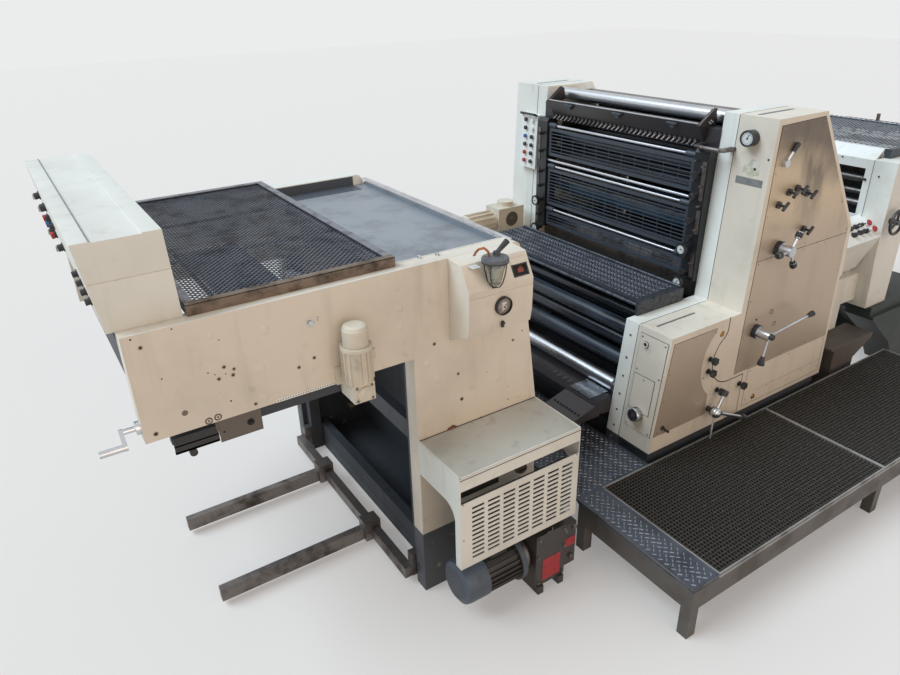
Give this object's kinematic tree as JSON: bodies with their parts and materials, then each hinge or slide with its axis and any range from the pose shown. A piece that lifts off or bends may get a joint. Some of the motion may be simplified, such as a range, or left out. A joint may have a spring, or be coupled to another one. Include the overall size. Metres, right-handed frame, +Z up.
{
  "type": "offset printing press",
  "caption": "Sheet-fed offset press with high-pile delivery, printing tower, lower inking unit, operator walkway and feeder.",
  "frame": {"origin": "on the floor under the middle of the printing tower, halfway between its two side frames", "axes": "+X along the machine to the feeder, +Y across to the drive side, +Z up"},
  "size_m": [5.767, 2.527, 1.8487],
  "materials": {
    "cream_paint": "semi-gloss, smudged",
    "warm_cream": "semi-gloss, smudged",
    "white_paint": "semi-gloss",
    "plinth_grey": "matt, scuffed",
    "brushed_panel": "brushed, smudged",
    "bright_steel": "polished",
    "worn_steel": "oily",
    "roller_black": "satin, inky",
    "roller_blue": "glossy, inky",
    "guard_black": "satin",
    "angle_brown": "worn",
    "deck_steel": "scuffed",
    "foot_dark": "punched sheet",
    "button_black": "matt",
    "motor_cream": "satin",
    "pump_grey": "painted, oily",
    "chequer_steel": "chequered",
    "mat_rubber": "ribbed",
    "table_green": "satin",
    "fitting_dark": "satin"
  },
  "bodies": {
    "press": {"base_plinth": "plinth_grey", "side_frame_operator": "cream_paint", "side_frame_drive": "cream_paint", "tower_cover_operator": "warm_cream", "tower_cover_drive": "cream_paint", "unit_cover_operator": "warm_cream", "unit_cover_drive": "cream_paint", "brushed_panels": "brushed_panel", "tie_bars": "bright_steel", "guard_cheeks": "guard_black", "press_cylinders": "worn_steel", "ink_rollers": "roller_black", "ink_ducts": "worn_steel", "footplate": "foot_dark", "tower_fittings": "fitting_dark", "drive_gearmotor": "motor_cream", "remote_panel": "white_paint", "delivery_frame_operator": "warm_cream", "delivery_frame_drive": "cream_paint", "delivery_cross_members": "plinth_grey", "delivery_deck": "deck_steel", "console": "cream_paint", "console_buttons": "button_black", "lift_motor": "motor_cream", "control_cabinet": "warm_cream", "cabinet_fittings": "fitting_dark", "tray_shelf": "cream_paint", "vacuum_pump": "pump_grey", "walkway_frame": "angle_brown", "chequer_plates": "chequer_steel", "rubber_mats": "mat_rubber", "feeder_frame": "cream_paint", "feeder_front": "white_paint", "feeder_mesh_top": "guard_black", "feeder_console": "white_paint", "feeder_base": "table_green", "suction_head": "worn_steel", "step_box": "angle_brown"},
    "unit_door": {"unit_door": "warm_cream"},
    "upper_roller": {"upper_roller": "roller_blue"},
    "lower_roller": {"lower_roller": "bright_steel"},
    "duct_roller": {"duct_roller": "bright_steel"},
    "guard_upper": {"guard_upper": "guard_black"},
    "guard_middle": {"guard_middle": "guard_black"},
    "guard_lower": {"guard_lower": "guard_black"},
    "tower_lever": {"tower_lever": "bright_steel"},
    "long_lever": {"long_lever": "bright_steel"},
    "star_handle": {"star_handle": "bright_steel"},
    "delivery_guard": {"delivery_guard": "angle_brown"},
    "pile_lift": {"pile_lift": "worn_steel"},
    "crank_handle": {"crank_handle": "bright_steel"},
    "feeder_handwheel": {"feeder_handwheel": "fitting_dark"}
  },
  "joints": [
    {"name": "pile_lift_slide", "type": "slide", "parent": "press", "child": "pile_lift", "axis": [0, 0, 1], "range_m": [0, 0.85]},
    {"name": "delivery_guard_hinge", "type": "hinge", "parent": "press", "child": "delivery_guard", "pos_m": [-2.238, 0, 1.5293], "axis": [0, 1, 0], "range_deg": [0, 70]},
    {"name": "guard_upper_hinge", "type": "hinge", "parent": "press", "child": "guard_upper", "pos_m": [-0.443, 0, 1.64], "axis": [0, 1, 0], "range_deg": [0, 75]},
    {"name": "guard_middle_hinge", "type": "hinge", "parent": "press", "child": "guard_middle", "pos_m": [-0.443, 0, 1.398], "axis": [0, 1, 0], "range_deg": [0, 75]},
    {"name": "guard_lower_hinge", "type": "hinge", "parent": "press", "child": "guard_lower", "pos_m": [-0.443, 0, 1.128], "axis": [0, 1, 0], "range_deg": [0, 75]},
    {"name": "duct_roller_spin", "type": "hinge", "parent": "press", "child": "duct_roller", "pos_m": [-0.29, 0, 1.806], "axis": [0, 1, 0], "continuous": true},
    {"name": "upper_roller_spin", "type": "hinge", "parent": "press", "child": "upper_roller", "pos_m": [-0.253, 0, 1.268], "axis": [0, 1, 0], "continuous": true},
    {"name": "lower_roller_spin", "type": "hinge", "parent": "press", "child": "lower_roller", "pos_m": [-0.936, 0, 0.548], "axis": [0, 1, 0], "continuous": true},
    {"name": "tower_lever_turn", "type": "hinge", "parent": "press", "child": "tower_lever", "pos_m": [-0.321, -0.924, 1.65], "axis": [0, 1, 0], "range_deg": [-35, 35]},
    {"name": "long_lever_turn", "type": "hinge", "parent": "press", "child": "long_lever", "pos_m": [-0.305, -0.924, 0.802], "axis": [0, 1, 0], "range_deg": [-60, 15]},
    {"name": "star_handle_turn", "type": "hinge", "parent": "press", "child": "star_handle", "pos_m": [-0.245, -0.924, 1.23], "axis": [0, 1, 0], "continuous": true},
    {"name": "unit_door_hinge", "type": "hinge", "parent": "press", "child": "unit_door", "pos_m": [-1.002, -0.744, 0.312], "axis": [-0.1157, 0, -0.9933], "range_deg": [0, 100]},
    {"name": "crank_turn", "type": "hinge", "parent": "press", "child": "crank_handle", "pos_m": [-3.157, -0.748, 1.21], "axis": [1, 0, 0], "continuous": true},
    {"name": "feeder_handwheel_turn", "type": "hinge", "parent": "press", "child": "feeder_handwheel", "pos_m": [1.075, -0.8, 1.088], "axis": [0, 1, 0], "continuous": true}
  ]
}
